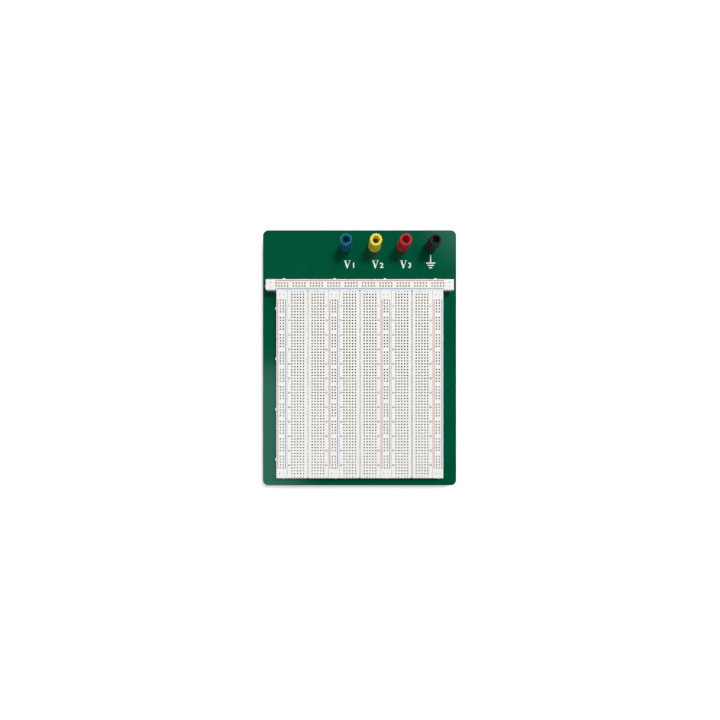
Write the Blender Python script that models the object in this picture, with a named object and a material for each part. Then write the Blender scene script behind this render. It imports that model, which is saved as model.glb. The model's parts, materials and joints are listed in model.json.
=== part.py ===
"""Bench breadboard: plug-in strips on an enamelled base plate with four binding posts.

Metres, +Z up. The origin is under the middle of the plate, on the surface that the feet stand on.
+Y runs along the plate towards the binding posts, +X to the right as seen from above.
"""

import math

import bmesh
import bpy
from mathutils import Matrix

# Clearances between pieces that touch on the real object
SEAT_GAP = 0.0003
BORE_GAP = 0.0003
STRIP_GAP = 0.0003

# Base plate
PLATE_WIDTH = 0.175
PLATE_LENGTH = 0.231
PLATE_THICKNESS = 0.0016
PLATE_CORNER_RADIUS = 0.005
CORNER_STEPS = 6

# Rubber feet
FOOT_HEIGHT = 0.010
FOOT_TOP_RADIUS = 0.0065
FOOT_TIP_RADIUS = 0.0055
FOOT_EDGE = 0.0008
FOOT_INSET = 0.0095
FOOT_SEGMENTS = 20

# Plug-in strips: rows and columns on one pitch, moulded bodies on foam pads
PITCH = 0.00254
STRIP_LENGTH = 0.1651
STRIP_HEIGHT = 0.0085
BUS_WIDTH = 0.00925
TERMINAL_WIDTH = 0.03587
TERMINAL_COUNT = 3
FIELD_MARGIN = 0.0101
RAVINE_WIDTH = 0.0026
RAVINE_DEPTH = 0.003
PAD_THICKNESS = 0.001
PAD_INSET = 0.0004

# Dovetail keys that lock neighbouring strips; a strip is pressed down over its neighbour's keys
KEY_COUNT = 4
KEY_SPACING = 0.0444
KEY_ROOT = 0.0016
KEY_TIP = 0.002
KEY_REACH = 0.001
KEY_LIFT = 0.001
KEY_DROP = 0.002
KEY_GAP = 0.0003
END_KEY_OFFSET = 0.00125

# Tie points of the bus strips: two rows of funnels in groups, with one pitch left out between groups
GROUP_HOLES = 5
BLANK_PITCHES = 2
FUNNEL_WIDTH = 0.0014
FUNNEL_DEPTH = 0.0022

# Contact rails of the bus strips, folded from spring sheet
RAIL_WIDTH = 0.0015
RAIL_HEIGHT = 0.005
RAIL_SHEET = 0.0003
RAIL_END = 0.0012

# Binding posts, from the plate up
POST_COLOURS = ("blue", "yellow", "red", "black")
POST_PITCH = 0.0254
POST_FROM_RIGHT = 0.0232
POST_FROM_TOP = 0.0147
COLLAR_RADIUS = 0.0055
COLLAR_HEIGHT = 0.004
COLLAR_CHAMFER = 0.0004
SPIGOT_RADIUS = 0.0039
SHANK_RADIUS = 0.002
FLANGE_RADIUS = 0.0046
FLANGE_THICKNESS = 0.001
STUD_RADIUS = 0.003
WIRE_HOLE_RADIUS = 0.001
WIRE_HOLE_RISE = 0.002
SOCKET_RADIUS = 0.00205
SOCKET_DEPTH = 0.0074
CAP_RADIUS = 0.0054
CAP_HEIGHT = 0.0161
CAP_CHAMFER = 0.0005
CAP_MOUTH_RADIUS = 0.0032
CAP_MOUTH_DEPTH = 0.005
CAP_THROAT_RADIUS = 0.0024
FLUTE_COUNT = 12
FLUTE_DEPTH = 0.0005
FLUTE_STEPS = 3
INSERT_WALL = 0.0009
INSERT_LENGTH = 0.0082

# Binding posts, from the plate down
WASHER_RADIUS = 0.0055
WASHER_THICKNESS = 0.002
LUG_RADIUS = 0.0038
LUG_THICKNESS = 0.0005
LUG_TAIL_WIDTH = 0.0034
LUG_TAIL_REACH = 0.0125
LUG_HOLE_RADIUS = 0.0008
LUG_HOLE_INSET = 0.0026
NUT_FLATS = 0.007
NUT_HEIGHT = 0.0032
SHANK_TAIL = 0.0012
ROUND_SEGMENTS = 16
NUT_SEGMENTS = 12

# Heights above the surface that the feet stand on
PLATE_BOTTOM = FOOT_HEIGHT + SEAT_GAP
PLATE_TOP = PLATE_BOTTOM + PLATE_THICKNESS
PAD_BOTTOM = PLATE_TOP + SEAT_GAP
STRIP_BOTTOM = PAD_BOTTOM + PAD_THICKNESS + SEAT_GAP
COLLAR_BOTTOM = PLATE_TOP + SEAT_GAP
COLLAR_TOP = COLLAR_BOTTOM + COLLAR_HEIGHT
FLANGE_BOTTOM = COLLAR_TOP + SEAT_GAP
FLANGE_TOP = FLANGE_BOTTOM + FLANGE_THICKNESS
CAP_BOTTOM = FLANGE_TOP + SEAT_GAP
CAP_TOP = CAP_BOTTOM + CAP_HEIGHT
CAP_BORE_END = CAP_TOP - CAP_MOUTH_DEPTH
STUD_TOP = CAP_BORE_END - SEAT_GAP
WASHER_TOP = PLATE_BOTTOM - SEAT_GAP
WASHER_BOTTOM = WASHER_TOP - WASHER_THICKNESS
LUG_TOP = WASHER_BOTTOM - SEAT_GAP
LUG_BOTTOM = LUG_TOP - LUG_THICKNESS
NUT_TOP = LUG_BOTTOM - SEAT_GAP
NUT_BOTTOM = NUT_TOP - NUT_HEIGHT
SHANK_END = NUT_BOTTOM - SHANK_TAIL

# Bores that follow what runs through them
SHANK_BORE = SHANK_RADIUS + BORE_GAP
INSERT_BORE = STUD_RADIUS + BORE_GAP
INSERT_RADIUS = INSERT_BORE + INSERT_WALL
CAP_BORE = INSERT_BORE
CAP_COUNTERBORE = INSERT_RADIUS + BORE_GAP
PLATE_HOLE = SPIGOT_RADIUS + BORE_GAP

# Whole groups of tie points that fit along a bus strip, with at least the blank pitches left at each end
GROUP_COUNT = int((STRIP_LENGTH / PITCH - 2 * BLANK_PITCHES + 2) / (GROUP_HOLES + 1))

# Where the strips lie on the plate
STRIP_SPACING = (BUS_WIDTH + TERMINAL_WIDTH) / 2 + STRIP_GAP
STRIP_Y = -PLATE_LENGTH / 2 + FIELD_MARGIN + STRIP_LENGTH / 2
TOP_BUS_Y = STRIP_Y + STRIP_LENGTH / 2 + STRIP_GAP + BUS_WIDTH / 2
POST_Y = PLATE_LENGTH / 2 - POST_FROM_TOP


def remove_everything():
    for old in list(bpy.data.objects):
        bpy.data.objects.remove(old, do_unlink=True)


def linear(channel):
    """One sRGB channel from 0 to 1 as linear light."""
    return channel / 12.92 if channel <= 0.04045 else ((channel + 0.055) / 1.055) ** 2.4


def finish(name, hex_colour, roughness, metallic=0.0):
    """A Principled material of one colour, given as six sRGB hex digits."""
    made = bpy.data.materials.new(name)
    made.use_nodes = True
    shader = made.node_tree.nodes["Principled BSDF"]
    channels = [int(hex_colour[i : i + 2], 16) / 255 for i in (0, 2, 4)]
    shader.inputs["Base Color"].default_value = (*map(linear, channels), 1.0)
    shader.inputs["Roughness"].default_value = roughness
    shader.inputs["Metallic"].default_value = metallic
    return made


def solid(name, mesh, material, place=(0, 0, 0), turn=0.0, parent=None):
    """One named piece of the object, turned about Z and put in its place."""
    piece = bpy.data.objects.new(name, mesh)
    piece.location = place
    piece.rotation_euler = (0, 0, turn)
    piece.parent = parent
    if not mesh.materials:
        mesh.materials.append(material)
    bpy.context.scene.collection.objects.link(piece)
    return piece


def combine(piece, mesh, operation):
    """Adds the mesh's volume to a piece, or takes it out, with a Boolean; the tool rides with the piece."""
    tool = bpy.data.objects.new(f"{piece.name}_{mesh.name}", mesh)
    tool.parent = piece
    tool.hide_render = True
    tool.display_type = "WIRE"
    bpy.context.scene.collection.objects.link(tool)
    boolean = piece.modifiers.new(mesh.name, "BOOLEAN")
    boolean.operation = operation
    boolean.solver = "EXACT"
    boolean.object = tool


def cut(piece, mesh):
    combine(piece, mesh, "DIFFERENCE")


def mesh_of(name, shape, smooth_angle=None):
    """A mesh from a bmesh, faces outwards, smooth across edges flatter than the angle."""
    bmesh.ops.recalc_face_normals(shape, faces=shape.faces)
    mesh = bpy.data.meshes.new(name)
    shape.to_mesh(mesh)
    shape.free()
    if smooth_angle:
        mesh.shade_smooth()
        mesh.set_sharp_from_angle(angle=smooth_angle)
    return mesh


def add_prism(shape, outline, bottom, top):
    """Adds a plan outline, extruded from one height to another."""
    face = shape.faces.new([shape.verts.new((x, y, bottom)) for x, y in outline])
    grown = bmesh.ops.extrude_face_region(shape, geom=[face])["geom"]
    risen = [part for part in grown if isinstance(part, bmesh.types.BMVert)]
    bmesh.ops.translate(shape, verts=risen, vec=(0, 0, top - bottom))


def prism(name, outline, bottom, top):
    shape = bmesh.new()
    add_prism(shape, outline, bottom, top)
    return mesh_of(name, shape)


def rectangle(width, length, x=0.0, y=0.0):
    return [(x + i * width / 2, y + j * length / 2) for i, j in ((-1, -1), (1, -1), (1, 1), (-1, 1))]


def circle(radius, segments, x=0.0, y=0.0):
    angles = [math.tau * i / segments for i in range(segments)]
    return [(x + radius * math.cos(a), y + radius * math.sin(a)) for a in angles]


def turned(name, profile, segments):
    """A solid of revolution about Z through (radius, height) points, outer side first.

    A radius may be a function of the angle. A point on the axis closes that end, and a profile
    with no point there is a ring.
    """
    shape = bmesh.new()
    rings = []
    for radius, height in profile:
        if radius == 0:
            rings.append([shape.verts.new((0, 0, height))] * segments)
            continue
        ring = []
        for i in range(segments):
            angle = math.tau * i / segments
            reach = radius(angle) if callable(radius) else radius
            ring.append(shape.verts.new((reach * math.cos(angle), reach * math.sin(angle), height)))
        rings.append(ring)
    steps = list(zip(rings, rings[1:]))
    if profile[0][0] != 0:
        steps.append((rings[-1], rings[0]))
    for upper, lower in steps:
        for i in range(segments):
            j = (i + 1) % segments
            corners = dict.fromkeys((upper[i], lower[i], lower[j], upper[j]))
            shape.faces.new(list(corners))
    return mesh_of(name, shape, math.radians(35))


def build_plate(material):
    half_width = PLATE_WIDTH / 2 - PLATE_CORNER_RADIUS
    half_length = PLATE_LENGTH / 2 - PLATE_CORNER_RADIUS
    outline = []
    for quarter, (i, j) in enumerate(((1, 1), (-1, 1), (-1, -1), (1, -1))):
        for step in range(CORNER_STEPS + 1):
            angle = math.pi / 2 * (quarter + step / CORNER_STEPS)
            x = i * half_width + PLATE_CORNER_RADIUS * math.cos(angle)
            y = j * half_length + PLATE_CORNER_RADIUS * math.sin(angle)
            outline.append((x, y))
    plate = solid("base_plate", prism("base_plate", outline, PLATE_BOTTOM, PLATE_TOP), material)
    holes = bmesh.new()
    for i in range(len(POST_COLOURS)):
        hole = circle(PLATE_HOLE, ROUND_SEGMENTS, post_x(i), POST_Y)
        add_prism(holes, hole, PLATE_BOTTOM - PLATE_THICKNESS, PLATE_TOP + PLATE_THICKNESS)
    cut(plate, mesh_of("post_holes", holes))


def build_feet(material):
    neck = FOOT_TIP_RADIUS - FOOT_EDGE
    profile = [
        (0, FOOT_HEIGHT),
        (FOOT_TOP_RADIUS, FOOT_HEIGHT),
        (FOOT_TOP_RADIUS, FOOT_HEIGHT - FOOT_EDGE),
        (FOOT_TIP_RADIUS, FOOT_EDGE),
        (neck, 0),
        (0, 0),
    ]
    mesh = turned("rubber_foot", profile, FOOT_SEGMENTS)
    x = PLATE_WIDTH / 2 - FOOT_INSET
    y = PLATE_LENGTH / 2 - FOOT_INSET
    corners = {"rear_left": (-x, y), "rear_right": (x, y), "front_left": (-x, -y), "front_right": (x, -y)}
    for corner, (foot_x, foot_y) in corners.items():
        solid("foot_" + corner, mesh, material, (foot_x, foot_y, 0))


def add_keys(shape, width, side, bottom, top, gap, end_keyed):
    """Adds the dovetail keys of a strip's left side, or the room for them in its right side.

    Each points left from its wall. A strip keyed at its ends has one more, which points down.
    """
    root = KEY_ROOT / 2 + gap
    tip = KEY_TIP / 2 + gap
    plan = [(KEY_REACH, -root), (0, -root), (-KEY_REACH, -tip), (-KEY_REACH, tip), (0, root), (KEY_REACH, root)]
    for i in range(KEY_COUNT):
        along = (i - (KEY_COUNT - 1) / 2) * KEY_SPACING
        add_prism(shape, [(side * width / 2 + x, along + y) for x, y in plan], bottom, top)
    if end_keyed:
        end = side * STRIP_LENGTH / 2
        add_prism(shape, [(END_KEY_OFFSET - y, end + x) for x, y in plan], bottom, top)


def keys_mesh(width, end_keyed):
    shape = bmesh.new()
    add_keys(shape, width, -1, KEY_LIFT, STRIP_HEIGHT - KEY_DROP, 0, end_keyed)
    return mesh_of("keys", shape)


def add_key_slots(shape, width, end_keyed):
    """Adds the slots that a neighbour's keys lie in: open below and closed under the face."""
    add_keys(shape, width, 1, -STRIP_HEIGHT, STRIP_HEIGHT - KEY_DROP + KEY_GAP, KEY_GAP, end_keyed)


def tie_row():
    """Places along a bus strip of one row of tie points, about its middle."""
    steps = [i + i // GROUP_HOLES for i in range(GROUP_COUNT * GROUP_HOLES)]
    return [(step - steps[-1] / 2) * PITCH for step in steps]


def rail_length():
    """A rail runs a little past the first and last hole of its row."""
    row = tie_row()
    return row[-1] - row[0] + 2 * RAIL_END


def add_funnel(shape, x, y):
    """Adds the pointed funnel of one tie point, carried on above the strip's face so that it cuts clean."""
    tip = STRIP_HEIGHT - FUNNEL_DEPTH
    mouth = rectangle(2 * FUNNEL_WIDTH, 2 * FUNNEL_WIDTH, x, y)
    rim = [shape.verts.new((corner_x, corner_y, tip + 2 * FUNNEL_DEPTH)) for corner_x, corner_y in mouth]
    point = shape.verts.new((x, y, tip))
    shape.faces.new(rim)
    for i, corner in enumerate(rim):
        shape.faces.new((corner, point, rim[(i + 1) % len(rim)]))


def rail_mesh():
    """A channel open at the top, folded from sheet, lying along Y."""
    side = RAIL_WIDTH / 2
    inner = side - RAIL_SHEET
    end = rail_length() / 2
    section = [(-side, 0), (side, 0), (side, RAIL_HEIGHT), (inner, RAIL_HEIGHT)]
    section += [(inner, RAIL_SHEET), (-inner, RAIL_SHEET), (-inner, RAIL_HEIGHT), (-side, RAIL_HEIGHT)]
    shape = bmesh.new()
    add_prism(shape, section, -end, end)
    lay_down = Matrix.Rotation(math.pi / 2, 4, "X")
    bmesh.ops.transform(shape, matrix=lay_down, verts=shape.verts)
    return mesh_of("bus_rail", shape)


def build_strips(body_material, pad_material, rail_material):
    """Four bus strips and three terminal strips side by side, and one more bus strip across their ends."""
    bus = prism("bus_strip", rectangle(BUS_WIDTH, STRIP_LENGTH), 0, STRIP_HEIGHT)
    bus_keys = keys_mesh(BUS_WIDTH, True)
    terminal = prism("terminal_strip", rectangle(TERMINAL_WIDTH, STRIP_LENGTH), 0, STRIP_HEIGHT)
    terminal_keys = keys_mesh(TERMINAL_WIDTH, False)
    rail = rail_mesh()
    hollows = bmesh.new()
    add_key_slots(hollows, BUS_WIDTH, True)
    for side in (-1, 1):
        row_x = side * PITCH / 2
        channel = rectangle(RAIL_WIDTH + 2 * BORE_GAP, rail_length() + 2 * BORE_GAP, row_x)
        add_prism(hollows, channel, -STRIP_HEIGHT, RAIL_HEIGHT + SEAT_GAP)
        for y in tie_row():
            add_funnel(hollows, row_x, y)
    hollows = mesh_of("bus_hollows", hollows)
    recesses = bmesh.new()
    add_key_slots(recesses, TERMINAL_WIDTH, False)
    ravine = rectangle(RAVINE_WIDTH, STRIP_LENGTH + 2 * RAVINE_WIDTH)
    add_prism(recesses, ravine, STRIP_HEIGHT - RAVINE_DEPTH, STRIP_HEIGHT + RAVINE_DEPTH)
    recesses = mesh_of("terminal_recesses", recesses)
    pad_length = STRIP_LENGTH - 2 * PAD_INSET
    pads = {
        width: prism("foam_pad", rectangle(width - 2 * PAD_INSET, pad_length), 0, PAD_THICKNESS)
        for width in (BUS_WIDTH, TERMINAL_WIDTH)
    }

    def place_bus(name, x, y, turn):
        strip = solid("bus_strip_" + name, bus, body_material, (x, y, STRIP_BOTTOM), turn)
        combine(strip, bus_keys, "UNION")
        cut(strip, hollows)
        solid("foam_pad_bus_" + name, pads[BUS_WIDTH], pad_material, (x, y, PAD_BOTTOM), turn)
        for line, side in (("red", -1), ("blue", 1)):
            offset = side * PITCH / 2
            rail_x = x + offset * math.cos(turn)
            rail_y = y + offset * math.sin(turn)
            solid(f"bus_{name}_rail_{line}", rail, rail_material, (rail_x, rail_y, STRIP_BOTTOM), turn)

    place_bus("top", 0, TOP_BUS_Y, -math.pi / 2)
    for i in range(TERMINAL_COUNT + 1):
        place_bus(str(i + 1), (2 * i - TERMINAL_COUNT) * STRIP_SPACING, STRIP_Y, 0)
    for i in range(TERMINAL_COUNT):
        x = (2 * i - TERMINAL_COUNT + 1) * STRIP_SPACING
        strip = solid(f"terminal_strip_{i + 1}", terminal, body_material, (x, STRIP_Y, STRIP_BOTTOM))
        combine(strip, terminal_keys, "UNION")
        cut(strip, recesses)
        solid(f"foam_pad_terminal_{i + 1}", pads[TERMINAL_WIDTH], pad_material, (x, STRIP_Y, PAD_BOTTOM))


def post_x(index):
    from_last = len(POST_COLOURS) - 1 - index
    return PLATE_WIDTH / 2 - POST_FROM_RIGHT - from_last * POST_PITCH


def cap_mesh():
    """A fluted knob, bored for the stud, counterbored for its insert, with a tapered mouth over the socket."""

    def fluted(radius):
        return lambda angle: radius - FLUTE_DEPTH * (1 - math.cos(FLUTE_COUNT * angle)) / 2

    insert_seat = CAP_BOTTOM + INSERT_LENGTH + SEAT_GAP
    profile = [
        (fluted(CAP_RADIUS - CAP_CHAMFER), CAP_TOP),
        (fluted(CAP_RADIUS), CAP_TOP - CAP_CHAMFER),
        (fluted(CAP_RADIUS), CAP_BOTTOM),
        (CAP_COUNTERBORE, CAP_BOTTOM),
        (CAP_COUNTERBORE, insert_seat),
        (CAP_BORE, insert_seat),
        (CAP_BORE, CAP_BORE_END),
        (CAP_THROAT_RADIUS, CAP_BORE_END),
        (CAP_MOUTH_RADIUS, CAP_TOP),
    ]
    return turned("post_cap", profile, FLUTE_COUNT * FLUTE_STEPS)


def ring_mesh(name, outer, inner, bottom, top, segments=ROUND_SEGMENTS):
    profile = [(outer, top), (outer, bottom), (inner, bottom), (inner, top)]
    return turned(name, profile, segments)


def stud_mesh():
    """Metal post: a socket bored down from the top, a flange on the collar and a shank through the plate."""
    profile = [
        (0, STUD_TOP - SOCKET_DEPTH),
        (SOCKET_RADIUS, STUD_TOP - SOCKET_DEPTH),
        (SOCKET_RADIUS, STUD_TOP),
        (STUD_RADIUS, STUD_TOP),
        (STUD_RADIUS, FLANGE_TOP),
        (FLANGE_RADIUS, FLANGE_TOP),
        (FLANGE_RADIUS, FLANGE_BOTTOM),
        (SHANK_RADIUS, FLANGE_BOTTOM),
        (SHANK_RADIUS, SHANK_END),
        (0, SHANK_END),
    ]
    return turned("post_stud", profile, ROUND_SEGMENTS)


def wire_hole_mesh():
    """A rod across the stud, where a bare wire goes through."""
    shape = bmesh.new()
    add_prism(shape, circle(WIRE_HOLE_RADIUS, NUT_SEGMENTS), -2 * STUD_RADIUS, 2 * STUD_RADIUS)
    across = Matrix.Translation((0, 0, FLANGE_TOP + WIRE_HOLE_RISE)) @ Matrix.Rotation(math.pi / 2, 4, "X")
    bmesh.ops.transform(shape, matrix=across, verts=shape.verts)
    return mesh_of("wire_hole", shape)


def collar_mesh():
    """Insulating collar with a spigot that keeps the stud clear of the plate."""
    profile = [
        (COLLAR_RADIUS - COLLAR_CHAMFER, COLLAR_TOP),
        (COLLAR_RADIUS, COLLAR_TOP - COLLAR_CHAMFER),
        (COLLAR_RADIUS, COLLAR_BOTTOM),
        (SPIGOT_RADIUS, COLLAR_BOTTOM),
        (SPIGOT_RADIUS, PLATE_BOTTOM),
        (SHANK_BORE, PLATE_BOTTOM),
        (SHANK_BORE, COLLAR_TOP),
    ]
    return turned("post_collar", profile, ROUND_SEGMENTS)


def lug_mesh():
    """Solder lug: a ring with a tail that reaches towards the strips."""
    half_tail = LUG_TAIL_WIDTH / 2
    spread = math.asin(half_tail / LUG_RADIUS)
    sweep = math.tau - 2 * spread
    steps = ROUND_SEGMENTS
    angles = [-math.pi / 2 + spread + sweep * i / steps for i in range(steps + 1)]
    outline = [(LUG_RADIUS * math.cos(a), LUG_RADIUS * math.sin(a)) for a in angles]
    tail_y = -LUG_TAIL_REACH + half_tail
    turns = [math.pi + math.pi * i / (steps / 2) for i in range(int(steps / 2) + 1)]
    outline += [(half_tail * math.cos(a), tail_y + half_tail * math.sin(a)) for a in turns]
    return prism("solder_lug", outline, LUG_BOTTOM, LUG_TOP)


def lug_holes_mesh():
    holes = bmesh.new()
    below = LUG_BOTTOM - LUG_THICKNESS
    above = LUG_TOP + LUG_THICKNESS
    add_prism(holes, circle(SHANK_BORE, ROUND_SEGMENTS), below, above)
    solder_hole = circle(LUG_HOLE_RADIUS, NUT_SEGMENTS, 0, -LUG_TAIL_REACH + LUG_HOLE_INSET)
    add_prism(holes, solder_hole, below, above)
    return mesh_of("lug_holes", holes)


def nut_mesh():
    """Hexagon nut: corners and middles of the flats take turns round the ring."""

    def hexagon(angle):
        from_flat = (angle + math.pi / 6) % (math.pi / 3) - math.pi / 6
        return NUT_FLATS / 2 / math.cos(from_flat)

    return ring_mesh("hex_nut", hexagon, SHANK_BORE, NUT_BOTTOM, NUT_TOP, NUT_SEGMENTS)


def build_posts(plastics, brass, nickel, tin, fibre):
    insert = ring_mesh("thread_insert", INSERT_RADIUS, INSERT_BORE, CAP_BOTTOM, CAP_BOTTOM + INSERT_LENGTH)
    washer = ring_mesh("insulating_washer", WASHER_RADIUS, SHANK_BORE, WASHER_BOTTOM, WASHER_TOP)
    stud = stud_mesh()
    wire_hole = wire_hole_mesh()
    lug = lug_mesh()
    lug_holes = lug_holes_mesh()
    nut = nut_mesh()
    for i, colour in enumerate(POST_COLOURS):
        axis = bpy.data.objects.new(colour + "_post_axis", None)
        axis.location = (post_x(i), POST_Y, 0)
        bpy.context.scene.collection.objects.link(axis)
        name = colour + "_post_"
        solid(name + "cap", cap_mesh(), plastics[colour], parent=axis)
        solid(name + "insert", insert, brass, parent=axis)
        cut(solid(name + "stud", stud, nickel, parent=axis), wire_hole)
        solid(name + "collar", collar_mesh(), plastics[colour], parent=axis)
        solid(name + "washer", washer, fibre, parent=axis)
        cut(solid(name + "lug", lug, tin, parent=axis), lug_holes)
        solid(name + "nut", nut, nickel, parent=axis)


def main():
    remove_everything()
    build_plate(finish("green_enamel", "025037", 0.4))
    build_feet(finish("black_rubber", "1c1c1e", 0.8))
    build_strips(
        finish("white_plastic", "f0efeb", 0.5),
        finish("foam_tape", "d9d4c4", 0.9),
        finish("spring_alloy", "b9b3a4", 0.35, 1.0),
    )
    plastics = {
        "blue": finish("blue_plastic", "0a5a8c", 0.35),
        "yellow": finish("yellow_plastic", "f0d728", 0.35),
        "red": finish("red_plastic", "c81e32", 0.35),
        "black": finish("black_plastic", "1e2328", 0.35),
    }
    build_posts(
        plastics,
        finish("turned_brass", "c8a24a", 0.3, 1.0),
        finish("nickel_plate", "b8b8b4", 0.3, 1.0),
        finish("tinned_brass", "c9c7bf", 0.35, 1.0),
        finish("black_insulator", "242428", 0.6),
    )


main()
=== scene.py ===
"""Dresses the bench breadboard for its picture.

Perforated strips with their contacts and prints, an enamelled plate on rubber feet, and binding posts
with flutes, threads and fittings. Metres, +Z up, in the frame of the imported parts.
"""

import json
import math

import bmesh
import bpy
from mathutils import Matrix, Vector


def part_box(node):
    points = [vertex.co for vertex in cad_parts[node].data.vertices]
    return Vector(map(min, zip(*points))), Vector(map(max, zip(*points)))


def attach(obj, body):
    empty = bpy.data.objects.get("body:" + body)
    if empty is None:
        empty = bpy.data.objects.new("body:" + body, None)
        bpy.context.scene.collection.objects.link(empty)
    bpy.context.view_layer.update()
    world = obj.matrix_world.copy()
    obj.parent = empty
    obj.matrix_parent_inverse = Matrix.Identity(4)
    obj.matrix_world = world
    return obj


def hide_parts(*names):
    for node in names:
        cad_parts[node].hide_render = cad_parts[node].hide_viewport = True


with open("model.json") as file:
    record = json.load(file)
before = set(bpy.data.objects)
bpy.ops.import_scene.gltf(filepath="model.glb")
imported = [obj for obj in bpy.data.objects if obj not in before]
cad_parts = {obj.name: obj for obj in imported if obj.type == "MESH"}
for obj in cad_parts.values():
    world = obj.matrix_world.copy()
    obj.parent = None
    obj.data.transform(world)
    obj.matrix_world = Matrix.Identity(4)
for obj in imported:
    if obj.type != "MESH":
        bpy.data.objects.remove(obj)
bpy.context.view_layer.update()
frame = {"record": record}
RECORD = frame["record"]
BODY_OF = {node: body for body, nodes in RECORD["behaviour"]["bodies"].items() for node in nodes}
SLOT_OF = {part["node"]: part["material_slot"] for part in RECORD["subparts"]}

# A millimetre, for the sizes of patterns in the finishes
MM = 0.001

# Heights that pieces seat against, and the gap that pieces which touch keep
PLATE_BOTTOM, PLATE_TOP = (corner.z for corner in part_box("base_plate"))
STRIP_BOTTOM, STRIP_TOP = (corner.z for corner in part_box("terminal_strip_1"))
STRIP_HEIGHT = STRIP_TOP - STRIP_BOTTOM
HAIRLINE = 0.00002

# Steps that draw round edges
ROUND_STEPS = 48
RIM_STEPS = 4
PLATE_CORNER_STEPS = 12
PLATE_EDGE_STEPS = 3
POST_HOLE_STEPS = 40
FLUTE_STEPS = 10
KNURL_STEPS = 4
THREAD_STEPS = 8
WIRE_HOLE_STEPS = 24
LUG_RING_STEPS = 36
LUG_TAIL_STEPS = 16
LUG_HOLE_STEPS = 28
NUT_STEPS = 72
PAD_STEPS = 6

# Angles under which faces shade as one, the least rise of a flat face's normal, and how near points merge
SMOOTH_ANGLE = math.radians(35)
STUD_SMOOTH_ANGLE = math.radians(30)
FLAT_NORMAL = 0.99
MERGE_DISTANCE = 1e-7

# Plate, and feet with a dimple in the tread
PLATE_CORNER = 0.005
PLATE_EDGE = 0.0004
FOOT_TIP_RADIUS = 0.0055
FOOT_EDGE = 0.0008
FOOT_DIMPLE = 0.0026
FOOT_DIMPLE_FLOOR = 0.00208
FOOT_DIMPLE_DEPTH = 0.0012

# Tie points: square holes on one pitch, each with a funnel that leads a wire in
PITCH = 0.00254
MOUTH = 0.0014
THROAT = 0.0011
FUNNEL_DEPTH = 0.0004
FACE_THICKNESS = 0.002
BANK_COUNT = 2
BANK_COLUMNS = 5
TERMINAL_ROWS = 63
BANK_STEP = 7 * PITCH
BUS_COLUMNS = 2
GROUP_ROWS = 5
GROUP_COUNT = 10
GROUP_STEP = 6 * PITCH

# Moulded strips, with dovetail keys down the left side and slots for them down the right
BUS_WIDTH = 0.00925
TERMINAL_WIDTH = 0.03587
STRIP_LENGTH = 0.1651
STRIP_SPREAD = 0.00007
STRIP_EDGE = 0.00025
KEY_COUNT = 4
KEY_SPACING = 0.0444
KEY_ROOT = 0.0016
KEY_TIP = 0.002
KEY_REACH = 0.001
KEY_LIFT = 0.001
KEY_DROP = 0.0008
KEY_GAP = 0.0002
END_KEY_DROP = 0.002
END_KEY_OFFSET = 0.00125
RAVINE_WIDTH = 0.0011
RAVINE_DEPTH = 0.0021
RAVINE_CHAMFER = 0.0002
POCKET_WIDTH = 0.0019
POCKET_WALL = 0.0006
POCKET_LENGTH = BANK_COLUMNS * PITCH - POCKET_WALL
RAIL_POCKET = 0.0021
POCKET_ROOM = 0.0005
PAD_DRAWN_IN = 0.00025

# Spring contacts: pairs of leaves that meet under each tie point, on a spine. An arm's points are shares
# of the pocket's width and of the leaf's height, from its flared tip down to its foot
LEAF_ARM = ((0.24, 1.0), (0.06, 0.8), (0.48, 0.2), (0.44, 0.0))
LEAF_WIDTH = 0.0019
LEAF_SHEET = 0.00015
SPINE_WIDTH = 0.001
SPINE_LENGTH = POCKET_LENGTH - 4 * LEAF_SHEET
CONTACT_LIFT = 0.0002

# Prints on the strips
INK_FILM = 0.00003
LINE_WIDTH = 0.0007
LINE_FROM_MIDDLE = 0.0034
LINE_PAST_HOLES = 0.0006
SIGN_SIZE = 0.0015
SIGN_STROKE = 0.0003
SIGN_FROM_END = 0.0039
SIGN_FROM_MIDDLE = 0.0019
LETTER_SIZE = 0.0019
LETTER_FROM_END = 0.0013
NUMBER_SIZE = 0.0021
PRINT_WEIGHT = 0.00006
NUMBER_FROM_COLUMN = 0.0024
NUMBER_EVERY = 5

# Binding posts
POST_COLOURS = ("blue", "yellow", "red", "black")
FLUTE_COUNT = 12
FLUTE_DEPTH = 0.00075
CAP_RIM = 0.0005
CAP_MOUTH = 0.0032
CAP_THROAT = 0.0024
CAP_MOUTH_DEPTH = 0.005
STUD_BORE = 0.0033
SOCKET_RADIUS = 0.00205
SOCKET_DEPTH = 0.0074
STUD_RADIUS = 0.003
SHANK_RADIUS = 0.002
SHANK_BORE = 0.0023
SPIGOT_RADIUS = 0.0039
COLLAR_EDGE = 0.0005
WASHER_EDGE = 0.0003
WIRE_HOLE_RADIUS = 0.001
WIRE_HOLE_RISE = 0.002
THREAD_PITCH = 0.00075
THREAD_DEPTH = 0.0003
LUG_TAIL_WIDTH = 0.0034
LUG_HOLE_RADIUS = 0.0008
LUG_HOLE_INSET = 0.0026
NUT_FLATS = 0.007
KNURL_COUNT = 30
KNURL_DEPTH = 0.0001

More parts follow.
